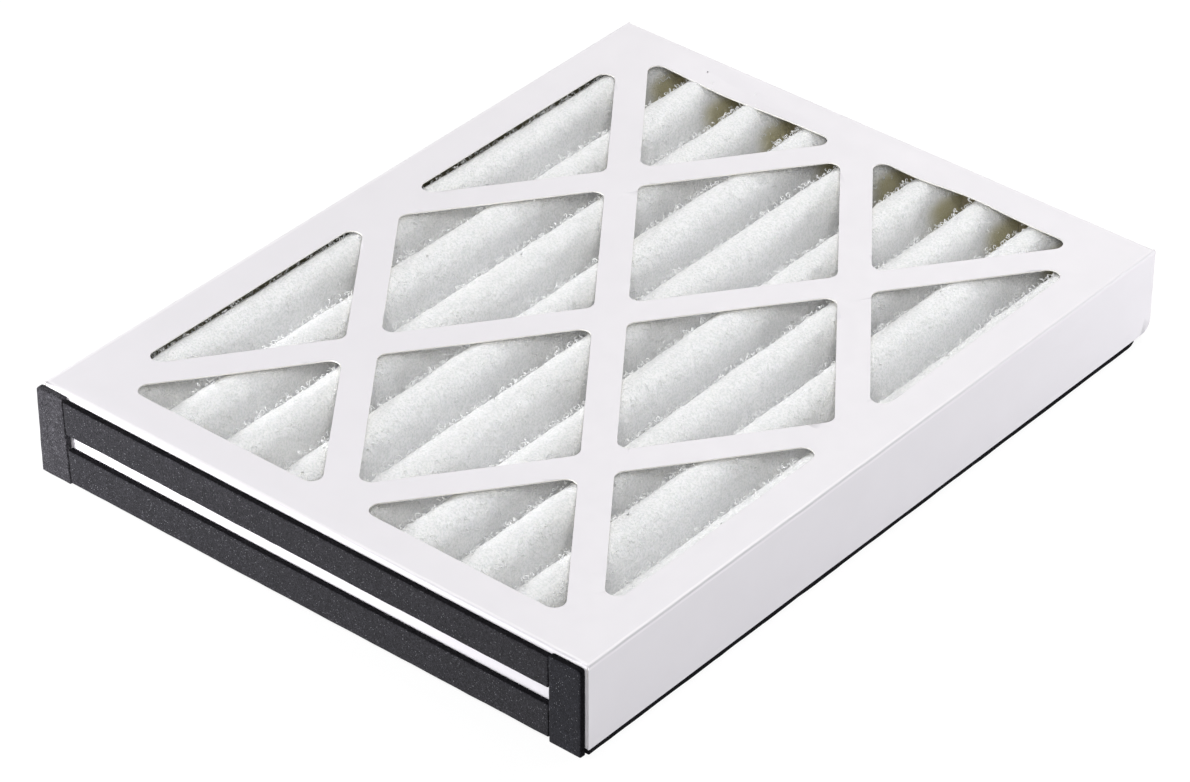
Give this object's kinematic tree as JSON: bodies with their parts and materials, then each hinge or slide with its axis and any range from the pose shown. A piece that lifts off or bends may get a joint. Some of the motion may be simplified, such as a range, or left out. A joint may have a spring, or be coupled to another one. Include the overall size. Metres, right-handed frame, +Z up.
{
  "type": "pleated panel air filter",
  "caption": "Flat card-framed air filter with a diagonal lattice over white pleated wadding and black foam seals on one end and its underside.",
  "frame": {"origin": "centre of the card frame's footprint, on the surface that the underside gasket rests on", "axes": "+X away from the gasketed end along the filter, +Y to the left side seen from that end, +Z up through the inlet face"},
  "size_m": [0.464, 0.362, 0.054],
  "materials": {
    "board": "coated white paperboard",
    "wadding": "lofty white synthetic wadding",
    "wire": "galvanised wire",
    "foam": "fine closed-cell foam tape"
  },
  "bodies": {
    "root": {"inlet_frame": "board", "outlet_frame": "board", "pleated_media": "wadding", "pleat_support_grid": "wire", "front_gasket_upper": "foam", "front_gasket_lower": "foam", "front_gasket_left": "foam", "front_gasket_right": "foam", "outlet_gasket_left": "foam", "outlet_gasket_right": "foam", "outlet_gasket_front": "foam", "outlet_gasket_back": "foam"}
  },
  "joints": []
}
